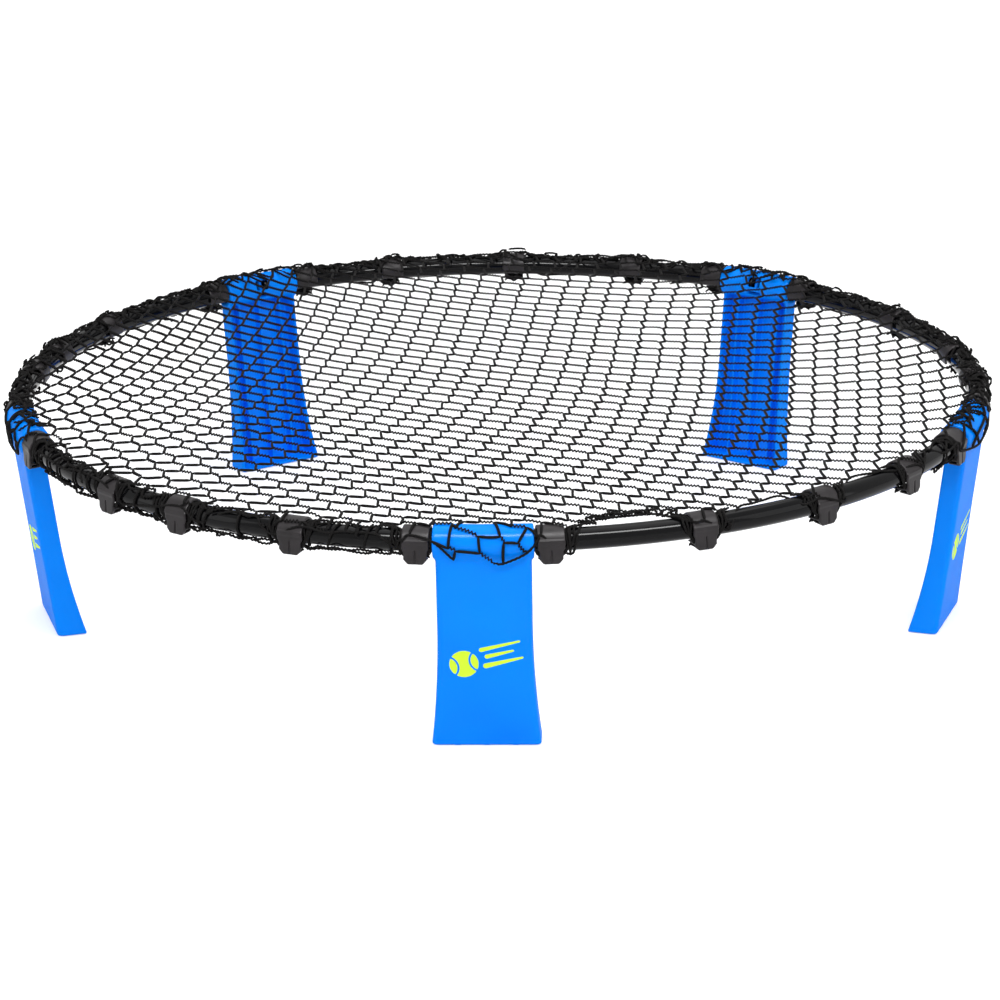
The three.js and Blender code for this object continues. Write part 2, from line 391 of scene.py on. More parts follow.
def stroke(y, z, start, end, first, last):
    """Distance to a straight stroke whose half width goes from first to last."""
    start, end = np.array(start), np.array(end)
    way = end - start
    share = np.clip(((y - start[0]) * way[0] + (z - start[1]) * way[1]) / (way @ way), 0, 1)
    gap = np.hypot(y - start[0] - share * way[0], z - start[1] - share * way[1])
    return gap - first - share * (last - first)


MARK_HEIGHT = 80.0
MARK_TILT = math.radians(14)
BALL_PLACE, BALL_R = 18, 12.0  # how far before the mark's middle the ball is, and its radius
SEAM_PLACE, SEAM_R, SEAM_HALF = 15.5, 10.5, 0.9  # the two curved seams, from the ball's middle
# Each speed line's start and end, across and up, and its half width at each
SPEED_LINES = [
    ((-1, 9), (31, 9), 1.9, 0.9),
    ((2, 2), (24, 2), 1.9, 0.9),
    ((-1, -6), (30, -6), 2.3, 0.9),
]


def leg_mark(points):
    """Above 0 inside the printed mark: a ball with three speed lines behind it."""
    x, y, z = points.T
    c, s = math.cos(MARK_TILT), math.sin(MARK_TILT)
    across = y * c + (z - MARK_HEIGHT) * s
    up = -y * s + (z - MARK_HEIGHT) * c
    ball = np.hypot(across + BALL_PLACE, up) - BALL_R
    for side in (-1, 1):
        seam_gap = np.hypot(across + BALL_PLACE + side * SEAM_PLACE, up) - SEAM_R
        ball = np.maximum(ball, SEAM_HALF - np.abs(seam_gap))
    lines = [stroke(across, up, *line) for line in SPEED_LINES]
    distance = np.minimum.reduce([ball, *lines])
    on_face = x > leg_panel_at(z)[0] - 0.7
    return np.where(on_face, -distance, -5.0)


def build_legs(material):
    points, quads = implicit_surface(leg_field, LEG_LOW, LEG_HIGH, LEG_CELL)
    mark = leg_mark(points)
    for index, name in enumerate(LEGS):
        angle = FIRST_LEG_DEG + SIDE_DEG * index
        leg = add_object(f"leg_{name}_shell", turned(points, angle), [quads], material)
        attribute = leg.data.attributes.new("mark", "FLOAT", "POINT")
        attribute.data.foreach_set("value", mark.astype(np.float32))
        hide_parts(f"leg_{name}")
        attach(leg, "ring")


# ---------------------------------------------------------------- the tubes

def build_tubes(material):
    steps, around = 180, 48
    end_deg = math.degrees(TUBE_END_GAP / RIM_R)
    along = np.radians(np.linspace(end_deg, SIDE_DEG - end_deg, steps + 1))
    ring = np.radians(np.arange(around) * 360 / around)
    layers = []
    for radius in (TUBE_R, TUBE_R - TUBE_WALL):
        out = RIM_R + radius * np.cos(ring)[None, :]
        up = np.broadcast_to(RIM_H + radius * np.sin(ring), (steps + 1, around))
        layers.append(np.stack([out * np.cos(along)[:, None], out * np.sin(along)[:, None], up], -1))
    points = np.concatenate([layer.reshape(-1, 3) for layer in layers])
    row, column = np.meshgrid(np.arange(steps), np.arange(around), indexing="ij")
    here = row * around + column
    side = row * around + (column + 1) % around
    outer = np.stack([here, side, side + around, here + around], -1).reshape(-1, 4)[:, ::-1]
    inner_start = (steps + 1) * around
    inner = outer[:, ::-1] + inner_start
    first = np.arange(around)
    first_next = (first + 1) % around
    last, last_next = first + steps * around, first_next + steps * around
    start_cap = np.stack([first, first_next, first_next + inner_start, first + inner_start], -1)
    end_cap = np.stack([last, last_next, last_next + inner_start, last + inner_start], -1)[:, ::-1]
    for index, name in enumerate(SIDES):
        angle = FIRST_LEG_DEG + SIDE_DEG * index
        faces = [outer, inner, start_cap, end_cap]
        tube = add_object(f"rim_tube_{name}_coated", turned(points, angle), faces, material)
        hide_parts(f"rim_tube_{name}")
        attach(tube, "ring")


# ---------------------------------------------------------------- the clips

# The box a clip is meshed in, from the tube's centreline, and the size of its cells
CLIP_LOW, CLIP_HIGH = (-14.0, -12.5, -18.5), (14.0, 12.5, 14.0)
CLIP_CELL = 0.55
# Each rounded bar's start and end, out and up from the tube's centreline, and its radius
UPPER_JAW = ((10.8, -11.3), (1.3, -11.7), 1.0)
LOWER_JAW = ((10.9, -15.9), (3.1, -15.3), 1.05)
STOP_RIB = ((12.4, 3.0), (12.4, 1.0), 0.7)
TAB_OUT, TAB_DOWN, TAB_HALF_HEIGHT = 11.5, 8, 7.8
TIP_START = 12.8  # how far below the centreline the tab's corners start to taper


def rounded_bar(u, w, start, end, radius):
    return stroke(u, w, start, end, radius, radius)


def clip_field(u, y, w):
    """Below 0 inside a clip. u is outwards and w upwards from the tube's centreline."""
    angle = np.degrees(np.arctan2(w, u)) % 360
    beyond = np.maximum(0, angle - COLLAR_END_DEG)
    before = np.where(angle > 300, 360 - angle, 0)
    past = np.radians(np.where(angle > 300, before, beyond)) * COLLAR_MID_R
    collar = np.hypot(np.maximum(np.abs(np.hypot(u, w) - COLLAR_MID_R) - 0.5, 0), past) - 0.6
    tab_across = np.maximum(np.abs(u - TAB_OUT) - 0.5, 0)
    tab_along = np.maximum(np.abs(w + TAB_DOWN) - TAB_HALF_HEIGHT, 0)
    tab = np.hypot(tab_across, tab_along) - 0.7
    upper = rounded_bar(u, w, *UPPER_JAW)
    lower = rounded_bar(u, w, *LOWER_JAW)
    rib = rounded_bar(u, w, *STOP_RIB)
    side = smooth_min(collar, tab, 1.0)
    side = smooth_min(side, upper, 1.2)
    side = smooth_min(side, lower, 1.2)
    side = smooth_min(side, rib, 1.0)
    narrowing = np.clip((-3 - w) / 4, 0, 1)
    narrowing = narrowing * narrowing * (3 - 2 * narrowing)
    half = CLIP_HALF + (CLIP_TAB_HALF - CLIP_HALF) * narrowing
    chamfer = np.clip((-TIP_START - w) / (CLIP_HANG - TIP_START), 0, 1)
    half = half + (CLIP_TIP_HALF - CLIP_TAB_HALF) * chamfer
    body = smooth_max(side, (np.abs(y) - half) * 0.85, 1.2)
    groove_half = 0.45 + 0.8 * np.clip((-5 - w) / 12, 0, 1)
    groove = np.maximum(np.abs(y) - groove_half, np.maximum(11.6 - u, w + 5))
    return smooth_max(body, -groove, 0.5)


def build_clips(material):
    points, quads = implicit_surface(clip_field, CLIP_LOW, CLIP_HIGH, CLIP_CELL)
    points = points + np.array([RIM_R, 0, RIM_H])
    for name in CLIPS:
        clip = add_object(f"{name}_moulding", turned(points, CLIP_DEG[name]), [quads], material)
        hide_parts(name)
        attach(clip, name)


# ---------------------------------------------------------------- cord

def unit(vectors):
    return vectors / np.maximum(np.linalg.norm(vectors, axis=-1, keepdims=True), 1e-9)


def cord_tube(path, radius, sides=6):
    """Points and faces of one cord, with rounded ends."""
    path = np.asarray(path, float)
    ahead = unit(np.gradient(path, axis=0))
    normal = np.zeros_like(path)
    start = np.array([0, 0, 1.0]) if abs(ahead[0][2]) < 0.9 else np.array([1.0, 0, 0])
    for index, way in enumerate(ahead):
        start = start - way * (start @ way)
        start = start / np.linalg.norm(start)
        normal[index] = start
    other = np.cross(ahead, normal)
    turn = np.arange(sides) * 2 * math.pi / sides
    size = np.full(len(path), radius)
    size[[0, -1]] *= 0.55
    ring = normal[:, None] * np.cos(turn)[None, :, None] + other[:, None] * np.sin(turn)[None, :, None]
    points = path[:, None] + ring * size[:, None, None]
    row, column = np.meshgrid(np.arange(len(path) - 1), np.arange(sides), indexing="ij")
    here = row * sides + column
    side = row * sides + (column + 1) % sides
    quads = np.stack([here, side, side + sides, here + sides], -1).reshape(-1, 4)
    first = np.arange(sides)[::-1][None, :]
    last = np.arange(sides)[None, :] + (len(path) - 1) * sides
    return points.reshape(-1, 3), quads, np.concatenate([first, last])


def cords_object(name, cords, material):
    """One mesh object from a list of (path, radius)."""
    points, quads, caps, count = [], [], [], 0
    for path, radius in cords:
        tube_points, tube_quads, tube_caps = cord_tube(path, radius)
        points.append(tube_points)
        quads.append(tube_quads + count)
        caps.append(tube_caps + count)
        count += len(tube_points)
    faces = [np.concatenate(quads), np.concatenate(caps)]
    return add_object(name, np.concatenate(points), faces, material)


def smooth_path(knots, step):
    """A Catmull-Rom curve through knots, with a point about every step."""
    knots = np.asarray(knots, float)
    padded = np.concatenate([[2 * knots[0] - knots[1]], knots, [2 * knots[-1] - knots[-2]]])
    out = []
    for index in range(1, len(padded) - 2):
        a, b, c, d = padded[index - 1:index + 3]
        count = max(2, int(np.ceil(np.linalg.norm(c - b) / step)))
        t = (np.arange(count) / count)[:, None]
        out.append(0.5 * (2 * b + (c - a) * t + (2 * a - 5 * b + 4 * c - d) * t ** 2
                          + (3 * b - a - 3 * c + d) * t ** 3))
    out.append(knots[-1:])
    return np.concatenate(out)


# ---------------------------------------------------------------- the net

# The net is pulled on by hand, so its rows and columns run in long curves. ROW_TERMS and
# COLUMN_TERMS count rows and columns across it, by powers of x and y over the ring's radius.
ROW_TERMS = {
    (0, 0): -0.2, (1, 0): 6.8, (0, 1): 19.8, (2, 0): -4.5, (1, 1): -1.1, (0, 2): -1.1,
    (3, 0): -3.1, (2, 1): -5.3, (1, 2): 0.4, (0, 3): 0.2,
}
COLUMN_TERMS = {
    (0, 0): -0.5, (1, 0): 19.4, (0, 1): -2.3, (2, 0): 1.0, (1, 1): 2.8, (0, 2): 2.3,
    (3, 0): 0.9, (2, 1): -2.2, (1, 2): -3.2, (0, 3): -1.7,
}
# How far a cross cord leans left for each millimetre it runs back, and how much less at the left
CROSS_LEAN, LEFT_LEAN = 0.1, 0.6
LEFT_START = 0.3  # how far left of the middle that begins, as a share of the ring's radius
STEP_LEAST, STEP_MOST = 0.06, 0.5  # the step between two cross cords on a row, as a share of a cell
PULL, LEFT_PULL = 0.02, 0.28  # how far the cross cords pull a row out of line, as a share of a cell
UNEVEN = 0.03  # how uneven the cells are, as a share of a cell
LOOSE_START, LOOSE_FADE, LOOSE_EXTRA = 10, 12, 3.5  # more uneven from just inside the rim, in mm
NET_COUNT = 27  # rows, and columns, to each side of the middle
rng = np.random.default_rng(7)


def count_at(terms, x, y):
    return sum(value * x ** i * y ** j for (i, j), value in terms.items())


def net_point(column, row):
    """Where a column and a row meet on the flat net, in millimetres."""
    column, row = np.broadcast_arrays(np.asarray(column, float), np.asarray(row, float))
    x, y = (column + 0.5) / 20, row / 21 - column / 60
    nudge = 1e-4
    for _ in range(40):
        off_c = count_at(COLUMN_TERMS, x, y) - column
        off_r = count_at(ROW_TERMS, x, y) - row
        cx = (count_at(COLUMN_TERMS, x + nudge, y) - column - off_c) / nudge
        cy = (count_at(COLUMN_TERMS, x, y + nudge) - column - off_c) / nudge
        rx = (count_at(ROW_TERMS, x + nudge, y) - row - off_r) / nudge
        ry = (count_at(ROW_TERMS, x, y + nudge) - row - off_r) / nudge
        det = cx * ry - cy * rx
        det = np.where(np.abs(det) < 20, 20, det)
        dx, dy = -(off_c * ry - off_r * cy) / det, -(cx * off_r - rx * off_c) / det
        size = np.minimum(1, 0.1 / np.maximum(np.hypot(dx, dy), 1e-9))
        x, y = x + dx * size, y + dy * size
    good = np.hypot(count_at(COLUMN_TERMS, x, y) - column, count_at(ROW_TERMS, x, y) - row) < 0.01
    return np.where(good, x * RIM_R, np.nan), np.where(good, y * RIM_R, np.nan)


def near_ring(degrees, places, reach_mm, fade_mm):
    """1 within reach of any of the places round the ring, falling to 0 over fade."""
    gap = np.full(np.shape(degrees), 1e9)
    for place in places:
        away = np.abs((np.asarray(degrees) - place + 180) % 360 - 180)
        gap = np.minimum(gap, np.radians(away) * RIM_R)
    share = np.clip((reach_mm + fade_mm - gap) / fade_mm, 0, 1)
    return share * share * (3 - 2 * share)


LEG_DEG = [FIRST_LEG_DEG + SIDE_DEG * index for index in range(5)]


def rim_reach(degrees):
    """How far from the tube's centreline a cord lies as it goes over the tube, clip or leg."""
    on_clip = near_ring(degrees, CLIP_PLACES, CLIP_HALF, 5.0)
    on_leg = near_ring(degrees, LEG_DEG, BARREL_HALF, 4.0)
    bare = TUBE_R + CORD_R
    over = np.maximum((COLLAR_OUT_R - TUBE_R) * on_clip, (BARREL_R - TUBE_R) * on_leg)
    return bare + over


# How far past the tube's centreline the flat net runs, in millimetres: where it is bare, the most
# that bunching adds, beside a clip, at a clip and over a leg
BARE_REACH, BUNCHED_EXTRA = -5, 40
BESIDE_CLIP_REACH, AT_CLIP_REACH, OVER_LEG_REACH = 27, 13, 37
# The gap that the slack cords leave beside the front leg, in degrees round from it, and its depth
GAP_TURN, GAP_HALF, GAP_DEPTH = 15, 9, 10
WRAP_BARE, WRAP_BUNCHED = 98, 130  # how many degrees the net wraps round the tube, and adds bunched
RISE_WIDTH = 45.0  # how far inside the tube the net starts to rise over a clip or leg
HANG_SLANT = 0.12  # how far the hanging margin leans in for each millimetre down


def bunching(degrees):
    """How bunched the net's edge is: bare at the front right, heavy along the back and sides."""
    turn = (np.asarray(degrees, float) - FIRST_LEG_DEG) % 360
    knots = [0, 8, 50, 62, 76, 90, 280, 292, 302, 350, 360]
    amount = [0.1, 0.0, 0.05, 0.35, 0.75, 0.85, 0.85, 0.55, 0.34, 0.34, 0.1]
    return np.interp(turn, knots, amount)


def net_edge_radius(degrees):
    """The flat radius at which the net ends: short in front, and folded right round the tube
    where the net is bunched."""
    degrees = np.asarray(degrees, float)
    turn = (degrees - FIRST_LEG_DEG) % 360
    beside_clip = near_ring(degrees, CLIP_PLACES, 15.0, 16.0)
    on_clip = near_ring(degrees, CLIP_PLACES, CLIP_HALF, 3.0)
    on_leg = near_ring(degrees, LEG_DEG, 30.0, 12.0)
    slack_gap = np.clip(1 - np.abs(turn - GAP_TURN) / GAP_HALF, 0, 1)
    slack = BARE_REACH + BUNCHED_EXTRA * bunching(degrees) - GAP_DEPTH * slack_gap
    slack = slack + 3 * np.sin(np.radians(turn * 17)) + 2 * np.sin(np.radians(turn * 31))
    reach = np.maximum(slack, BESIDE_CLIP_REACH * beside_clip + slack * (1 - beside_clip))
    reach = reach + (AT_CLIP_REACH - reach) * on_clip
    reach = reach + (OVER_LEG_REACH + 2 * np.sin(np.radians(turn * 23)) - reach) * on_leg
    return RIM_R + reach


def drape(x, y, lift=0.0):
    """A point of the flat net, taken over the tube and on round it, or straight down its side."""
    flat = np.hypot(x, y)
    degrees = np.degrees(np.arctan2(y, x))
    reach = rim_reach(degrees) + lift
    rest = TUBE_R + CORD_R + lift
    near = np.clip(1 - (RIM_R - flat) / RISE_WIDTH, 0, 1) ** 2
    top = rest + (reach - rest) * near
    over = np.maximum(flat - RIM_R, 0)
    off_leg = 1 - near_ring(degrees, LEG_DEG, BARREL_HALF, 6.0)
    most = np.radians(WRAP_BARE + WRAP_BUNCHED * bunching(degrees) * off_leg)
    angle = np.minimum(over / reach, most)
    hang = np.maximum(over - angle * reach, 0)
    out = np.where(flat < RIM_R, flat, RIM_R + reach * np.sin(angle) - hang * HANG_SLANT)
    up = np.where(flat < RIM_R, RIM_H + top, RIM_H + reach * np.cos(angle) - hang)
    a = np.radians(degrees)
    return np.stack([out * np.cos(a), out * np.sin(a), up], -1)


def link_path(start, end, crinkle, step, bow=0.0):
    """A short cord on the flat net, straight or crinkled, as flat points."""
    start, end = np.asarray(start), np.asarray(end)
    length = np.linalg.norm(end - start)
    count = max(3, int(round(length / step)) + 1)
    t = np.linspace(0, 1, count)
    along = start + (end - start) * t[:, None]
    side = np.array([-(end - start)[1], (end - start)[0]]) / max(length, 1e-6)
    zigzag = crinkle * np.where(np.arange(count) % 2, 1.0, -1.0) * np.minimum(1, 4 * t * (1 - t) * 3)
    along = along + side * (zigzag + bow * np.sin(math.pi * t))[:, None]
    return along


def net_links():
    """Every short cord of the flat net: (start, end, kind)."""
    index = np.arange(-NET_COUNT, NET_COUNT + 1)
    column, row = np.meshgrid(index, index, indexing="ij")
    corner = np.stack(net_point(column, row), -1)
    along = np.roll(corner, -1, axis=0) - corner
    across = np.roll(corner, -1, axis=1) - corner
    leftward = np.clip(-corner[..., 0] / RIM_R - LEFT_START, 0, 1)
    lean = CROSS_LEAN - LEFT_LEAN * leftward
    step = (across[..., 0] + lean * across[..., 1]) / (along[..., 0] + lean * along[..., 1])
    step = np.clip(step, STEP_LEAST, STEP_MOST)[..., None]
    pull = PULL + LEFT_PULL * leftward
    past_start = np.hypot(corner[..., 0], corner[..., 1]) - RIM_R + LOOSE_START
    loose = np.clip(past_start / LOOSE_FADE, 0, 1)
    wobble = rng.normal(0, UNEVEN, (4,) + column.shape) * (1 + LOOSE_EXTRA * loose)
    start = corner + along * wobble[0][..., None] + across * (wobble[1] - pull)[..., None]
    end = corner + along * (step + wobble[2][..., None]) + across * (wobble[3] + pull)[..., None]
    links = []
    last = 2 * NET_COUNT
    for i in range(last):
        for j in range(last):
            links.append((start[i, j + 1], end[i, j], "cross"))
            links.append((start[i, j], end[i, j], "step"))
            links.append((end[i, j], start[i + 1, j], "row"))
    return [link for link in links if not (np.isnan(link[0]).any() or np.isnan(link[1]).any())]


def edge_gap(point):
    """How far inside the net's edge a flat point lies."""
    degrees = math.degrees(math.atan2(point[1], point[0]))
    return float(net_edge_radius(degrees)) - math.hypot(*point)


def cut_at_edge(start, end):
    """The part of a link inside the net's edge, or None."""
    first, last = edge_gap(start), edge_gap(end)
    if first < 0 and last < 0:
        return None
    if first < 0:
        start = end + (start - end) * last / (last - first)
    if last < 0:
        end = start + (end - start) * first / (first - last)
    return start, end


SECTORS = 15
FARTHEST = 45  # a cord that starts farther out than this past the tube's centreline is left out
SHORTEST = 1.0  # so is one shorter than this
BEAD = 0.9  # how far each bump of a crinkled cord stands up


def build_net(material, links):
    """The net's sheet, in sectors round the ring, whose cords follow the rim at the edge."""
    sectors = [[] for _ in range(SECTORS)]
    ends = []
    for start, end, kind in links:
        if min(math.hypot(*start), math.hypot(*end)) > RIM_R + FARTHEST:
            continue
        kept = cut_at_edge(start, end)
        if kept is None:
            continue
        first, last = kept
        if math.dist(first, last) < SHORTEST:
            continue
        if kind == "row":
            flat = link_path(first, last, 0.7, 1.5, rng.normal(0, 0.5))
            radius = CORD_R * 0.9
        else:
            flat = link_path(first, last, 0.0, 3.0, rng.normal(0, 0.3))
            radius = LINK_R
        path = drape(flat[:, 0], flat[:, 1])
        path[:, 2] += rng.normal(0, 0.12)
        if kind == "row":
            path[1:-1:2, 2] += BEAD
        middle = (first + last) / 2
        turn = math.degrees(math.atan2(middle[1], middle[0])) - FIRST_LEG_DEG
        sectors[int(turn % 360 // (360 / SECTORS))].append((path, radius))
        for point, gone in ((first, math.dist(first, start)), (last, math.dist(last, end))):
            if gone > 0:
                ends.append(point)
    for index, cords in enumerate(sectors):
        name = f"net_sector_{index + 1}"
        piece = cords_object(name, cords, material)
        if index == 0:
            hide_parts("net")
        turn = math.radians(FIRST_LEG_DEG + (index + 0.5) * 360 / SECTORS)
        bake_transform(piece)
    return ends


# ---------------------------------------------------------------- the net's edge

def ring_point(degrees, angle, reach):
    """A point round the tube: angle is degrees from straight out, up and over to the inside."""
    a, b = np.radians(degrees), np.radians(angle)
    out = RIM_R + reach * np.cos(b)
    return np.stack([out * np.cos(a), out * np.sin(a), RIM_H + reach * np.sin(b)], -1)


def on_near_clip(degrees):
    """True on a clip where the net isn't bunched, because the near clips are left clear."""
    on_clip = near_ring(degrees, CLIP_PLACES, CLIP_HALF, 3.0)
    return float(on_clip) > 0.3 and float(bunching(degrees)) < 0.6


def beaded_cord(knots, step=1.8):
    """A loose crinkled cord through knots, as a (path, radius) pair."""
    path = smooth_path(knots, step)
    path[1::2, 2] += BEAD
    return path, CORD_R


def has_fringe(degrees):
    """True where the net's edge is slack enough to hang, but not bunched round the tube."""
    return 0.25 < float(bunching(degrees)) < 0.6


def second_layer(links, side_index):
    """The net's margin doubled back over the tube: its cells again, loose, turned a little."""
    cords = []
    for start, end, _ in links:
        middle = (start + end) / 2
        degrees = math.degrees(math.atan2(middle[1], middle[0]))
        turn = (degrees - FIRST_LEG_DEG) % 360
        if int(turn // SIDE_DEG) != side_index:
            continue
        dense = float(bunching(degrees))
        over = math.hypot(*middle) - RIM_R
        on_clip = float(near_ring(degrees, CLIP_PLACES, CLIP_HALF + 2, 3.0))
        most_over = 4 + 28 * dense * (1 - on_clip) + 6 * on_clip
        if not -8 < over < most_over or rng.random() > dense - 0.2 or on_near_clip(degrees):
            continue
        flat = link_path(start, end, 0.7, 1.7, rng.normal(0, 1.3))
        shift = math.radians(1.4)
        c, s = math.cos(shift), math.sin(shift)
        flat = flat @ np.array([[c, s], [-s, c]])
        far = np.hypot(flat[:, 0], flat[:, 1])
        wave = 5 * np.sin(np.radians(turn * 19 + 40)) + 3 * np.sin(np.radians(turn * 43))
        flat = flat * ((far + wave) / far)[:, None]
        path = drape(flat[:, 0], flat[:, 1], 1.4 + abs(rng.normal(0, 0.8)))
        cords.append((path, CORD_R))
    return cords


def fringe(side_index):
    """The slack selvedge that runs below a tube from clip to clip, with cords round the tube."""
    first = FIRST_LEG_DEG + SIDE_DEG * side_index
    runs = []
    for layer in range(2):
        degrees, knots = first + 5 + layer, []
        swing = 1
        while degrees < first + SIDE_DEG - 5:
            if has_fringe(degrees):
                angle = -62 - 12 * layer + swing * rng.uniform(4, 26)
                knots.append(ring_point(degrees, angle, TUBE_R + rng.uniform(1.2, 5.5)))
                swing = -swing
            elif len(knots) > 3:
                runs.append(knots)
                knots = []
            degrees += rng.uniform(0.7, 1.5)
        if len(knots) > 3:
            runs.append(knots)
    degrees = first + 7
    while degrees < first + SIDE_DEG - 7:
        if has_fringe(degrees) and not on_near_clip(degrees):
            slant = rng.uniform(-1.6, 1.6)
            runs.append([
                ring_point(degrees + slant * (100 - angle) / 180, angle, TUBE_R + CORD_R + 0.3)
                for angle in (100, 60, 20, -20, -60, -85)
            ])
        degrees += rng.uniform(1.4, 3.8)
    return [beaded_cord(knots) for knots in runs]


def winding_strands(side_index):
    """Single cords pulled crooked along a tube, between the cells."""
    runs = []
    first = FIRST_LEG_DEG + SIDE_DEG * side_index
    for layer, middle in enumerate((75, 110)):
        degrees, knots = first + rng.uniform(-1, 1), []
        swing = 1 if layer % 2 else -1
        while degrees < first + SIDE_DEG + 1:
            if layer / 4 + 0.2 < float(bunching(degrees)) and not on_near_clip(degrees):
                angle = middle + swing * rng.uniform(8, 38)
                reach = float(rim_reach(degrees)) + abs(rng.normal(0.6, 0.9))
                knots.append(ring_point(degrees, angle, reach))
                swing = -swing
            elif len(knots) > 2:
                runs.append(knots)
                knots = []
            degrees += rng.uniform(1.1, 3.0)
        if len(knots) > 2:
            runs.append(knots)
    return [beaded_cord(knots) for knots in runs]


def slack_bunch():
    """The slack cords that lie curled on the net beside the front leg's tube."""
    turn = np.linspace(10.5, 21.5, 23)
    cords = []
    for start, size in ((0.0, 5.0), (2.1, 3.4)):
        swing = size * np.sin(turn * 2.9 + start) + 2 * np.sin(turn * 6.1 + start)
        dip = 1 - ((turn - 16) / 5.5) ** 2
        radius = RIM_R - 4 - 15 * dip + swing
        a = np.radians(turn + FIRST_LEG_DEG + 0.5 * np.sin(turn * 4 + start))
        height = RIM_H + TUBE_R + 2.2 + 1.2 * np.sin(turn * 3.7 + start)
        knots = np.stack([radius * np.cos(a), radius * np.sin(a), height], -1)
        cords.append(beaded_cord(knots, 1.7))
    return cords


def build_edge(material, links, ends):
    """The net's edge: the selvedge cord through the cut ends, and the bunched strands."""
    ends = np.array(ends)
    turn = np.degrees(np.arctan2(ends[:, 1], ends[:, 0]))
    order = np.argsort((turn - FIRST_LEG_DEG) % 360)
    ends, turn = ends[order], ((turn - FIRST_LEG_DEG) % 360)[order]
    for index, name in enumerate(SIDES):
        low, high = SIDE_DEG * index, SIDE_DEG * (index + 1)
        picked = ends[(turn >= low - 1.5) & (turn <= high + 1.5)]
        path = drape(picked[:, 0], picked[:, 1])
        keep = np.concatenate([[True], np.linalg.norm(np.diff(path, axis=0), axis=1) > 2.5])
        selvedge = smooth_path(path[keep], 1.8)
        selvedge[1::2, 2] += 0.4
        cords = [(selvedge, CORD_R)] + second_layer(links, index) + fringe(index)
        cords += winding_strands(index)
        if index == 0:
            cords += slack_bunch()
        piece = cords_object(f"net_edge_{name}", cords, material)
        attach(piece, "ring")


# Where four strands run through a clip's jaws, out and up from the tube's centreline
JAW_STRANDS = ((5.0, -13.7), (1.0, -13.4), (-1.2, -10.5), (-2.0, -14.5))


def build_clip_loops(material):
    """The cords gathered at each clip: down both its sides and into its jaws."""
    for name in CLIPS:
        place = CLIP_DEG[name]
        per_mm = math.degrees(1 / RIM_R)
        cords = []
        for side in (-1, 1):
            for strand in range(3):
                top = place + side * (CLIP_HALF + 1.5 + 3.2 * strand) * per_mm
                low = place + side * (CLIP_TAB_HALF + 0.6 - 1.6 * strand) * per_mm
                lift = 0.5 * strand
                knots = [
                    ring_point(top + side * 1.2, 112, TUBE_R + CORD_R + 0.2),
                    ring_point(top, 70, TUBE_R + CORD_R + 0.3 + lift),
                    ring_point(top - side * 0.1, 30, TUBE_R + CORD_R + 0.3 + lift),
                    ring_point((top + low) / 2 + side * 0.2, -14, TUBE_R + CORD_R + 0.6),
                    ring_point(low, -44, 13.4 - lift * 0.4),
                    ring_point(place + side * 3 * per_mm, -62 - 3 * strand, 15.4),
                ]
                knots[0][2] = RIM_H + TUBE_R + CORD_R
                path = smooth_path(knots, 1.7)
                path[1::2, 2] += 0.3
                cords.append((path, CORD_R * 0.95))
        for strand, (out, up) in enumerate(JAW_STRANDS):
            spread = np.linspace(-9.5, 9.5, 9)
            wave = np.sin(spread * 0.5 + strand * 2)
            knots = np.stack([
                RIM_R + out + (0.25 if strand == 0 else 1.2) * wave,
                spread,
                RIM_H + up + (0.0 if strand == 0 else 1.6) * np.cos(spread * 0.6 + strand),
            ], -1)
            cords.append((smooth_path(turned(knots, place), 1.7), CORD_R))
        piece = cords_object(f"{name}_loops", cords, material)
        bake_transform(piece)


# ---------------------------------------------------------------- camera, light and floor

CAMERA_FROM_MIDDLE = 3227.7
CAMERA_RISE = math.radians(19.718)  # from the ground's middle up to the camera
CAMERA_PITCH = math.radians(18.541)
CAMERA_TURN = math.radians(1.804)
CAMERA_ROLL = math.radians(-0.763)
CAMERA_LENS = 122.91


def build_camera():
    data = bpy.data.cameras.new("camera")
    data.lens = CAMERA_LENS
    data.sensor_width = 36
    data.clip_end = 100
    camera = bpy.data.objects.new("camera", data)
    bpy.context.scene.collection.objects.link(camera)
    place = Vector((0, -math.cos(CAMERA_RISE), math.sin(CAMERA_RISE))) * CAMERA_FROM_MIDDLE * MM
    ahead = Vector((0, math.cos(CAMERA_PITCH), -math.sin(CAMERA_PITCH)))
    right = ahead.cross(Vector((0, 0, 1))).normalized()
    up = right.cross(ahead)
    c, s = math.cos(CAMERA_ROLL), math.sin(CAMERA_ROLL)
    right, up = c * right + s * up, c * up - s * right
    turn = Matrix.Rotation(CAMERA_TURN, 4, "Z")
    axes = Matrix((right, up, -ahead)).transposed().to_4x4()
    camera.matrix_world = turn @ Matrix.Translation(place) @ axes
    bpy.context.scene.camera = camera


FLOOR_HALF = 9000.0
FLOOR_Z = -0.4  # just under the feet, so that the two surfaces don't share a plane


def background_rays(nodes, links):
    """1 for the rays that show the white background: the camera's, reflections and refractions."""
    path = nodes.new("ShaderNodeLightPath")
    seen = path.outputs["Is Camera Ray"]
    for ray in ("Is Glossy Ray", "Is Transmission Ray"):
        either = nodes.new("ShaderNodeMath")
        either.operation = "MAXIMUM"
        links.new(seen, either.inputs[0])
        links.new(path.outputs[ray], either.inputs[1])
        seen = either.outputs["Value"]
    return seen


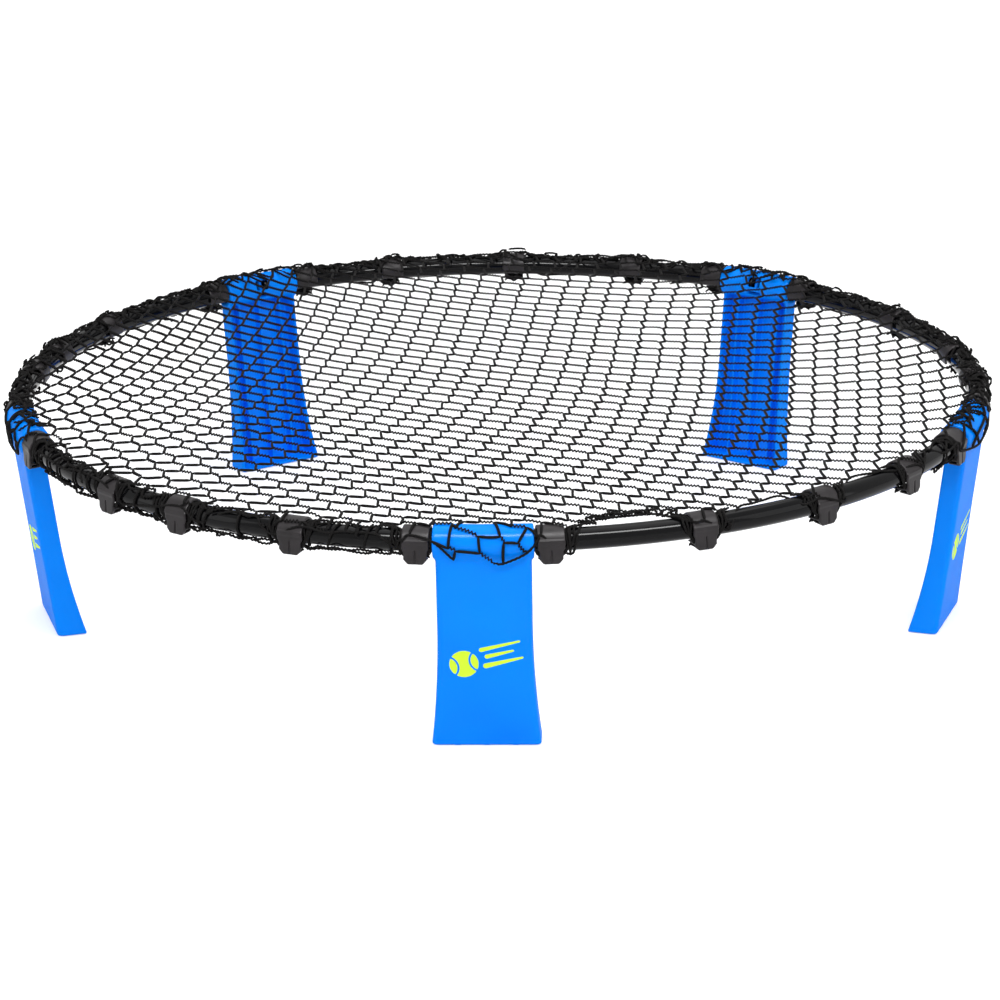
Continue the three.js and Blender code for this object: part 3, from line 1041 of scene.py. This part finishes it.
def build_world():
    """Plain white to the camera and in reflections, and a softer light on the object."""
    world = bpy.data.worlds.new("studio")
    bpy.context.scene.world = world
    world.use_nodes = True
    nodes, links = world.node_tree.nodes, world.node_tree.links
    nodes.clear()
    soft = nodes.new("ShaderNodeBackground")
    soft.inputs["Color"].default_value = (1, 1, 1, 1)
    soft.inputs["Strength"].default_value = 0.55
    plain = nodes.new("ShaderNodeBackground")
    plain.inputs["Color"].default_value = (1, 1, 1, 1)
    both = nodes.new("ShaderNodeMixShader")
    links.new(background_rays(nodes, links), both.inputs["Fac"])
    links.new(soft.outputs["Background"], both.inputs[1])
    links.new(plain.outputs["Background"], both.inputs[2])
    out = nodes.new("ShaderNodeOutputWorld")
    links.new(both.outputs["Shader"], out.inputs["Surface"])


def build_floor():
    """A pale floor that keeps the object's shadow and turns white in the camera."""
    corners = [(-1, -1), (1, -1), (1, 1), (-1, 1)]
    points = np.array([[x * FLOOR_HALF, y * FLOOR_HALF, FLOOR_Z] for x, y in corners])
    material, nodes, links, shader = new_material("floor")
    shader.inputs["Base Color"].default_value = (0.82, 0.82, 0.82, 1)
    shader.inputs["Roughness"].default_value = 0.9
    shader.inputs["Specular IOR Level"].default_value = 0.0
    strength = nodes.new("ShaderNodeMath")
    strength.operation = "MULTIPLY"
    space = nodes.new("ShaderNodeTexCoord")
    away = nodes.new("ShaderNodeVectorMath")
    away.operation = "LENGTH"
    links.new(space.outputs["Object"], away.inputs[0])
    lift = nodes.new("ShaderNodeMapRange")
    lift.inputs["From Min"].default_value = 1.2
    lift.inputs["From Max"].default_value = 3.5
    lift.inputs["To Min"].default_value = 0.42
    lift.inputs["To Max"].default_value = 0.66
    links.new(away.outputs["Value"], lift.inputs["Value"])
    links.new(background_rays(nodes, links), strength.inputs[0])
    links.new(lift.outputs["Result"], strength.inputs[1])
    glow = nodes.new("ShaderNodeEmission")
    links.new(strength.outputs["Value"], glow.inputs["Strength"])
    both = nodes.new("ShaderNodeAddShader")
    links.new(shader.outputs["BSDF"], both.inputs[0])
    links.new(glow.outputs["Emission"], both.inputs[1])
    links.new(both.outputs["Shader"], nodes["Material Output"].inputs["Surface"])
    floor = add_object("floor", points, [np.array([[0, 1, 2, 3]])], material, smooth=False)


def add_lamp(name, place, target, width, depth, watts, only_gloss=False):
    data = bpy.data.lights.new(name, "AREA")
    data.shape = "RECTANGLE"
    data.size = width
    data.size_y = depth
    data.energy = watts
    lamp = bpy.data.objects.new(name, data)
    bpy.context.scene.collection.objects.link(lamp)
    lamp.visible_diffuse = not only_gloss
    lamp.location = place
    lamp.rotation_euler = (Vector(target) - Vector(place)).to_track_quat("-Z", "Y").to_euler()


def build_lights():
    add_lamp("gloss_strip", (0.3, -1.6, 2.1), (0, -0.2, 0.1), 2.6, 0.45, 110, only_gloss=True)
    add_lamp("front_strip", (0.3, -1.7, 1.9), (0, -0.2, 0.1), 2.6, 0.3, 32)
    add_lamp("overhead", (0, 0.3, 2.4), (0, 0, 0), 2.2, 2.2, 26)
    add_lamp("left_panel", (-2.2, -0.9, 1.0), (0, 0, 0.1), 1.2, 1.6, 9)
    add_lamp("right_panel", (2.2, -0.9, 1.0), (0, 0, 0.1), 1.2, 1.6, 9)


bpy.context.scene.view_settings.view_transform = "Standard"
build_camera()
build_world()
build_lights()
build_floor()
build_legs(leg_material())
build_tubes(tube_material())
build_clips(clip_material())
cord_look = cord_material()
all_links = net_links()
build_edge(cord_look, all_links, build_net(cord_look, all_links))
build_clip_loops(cord_look)
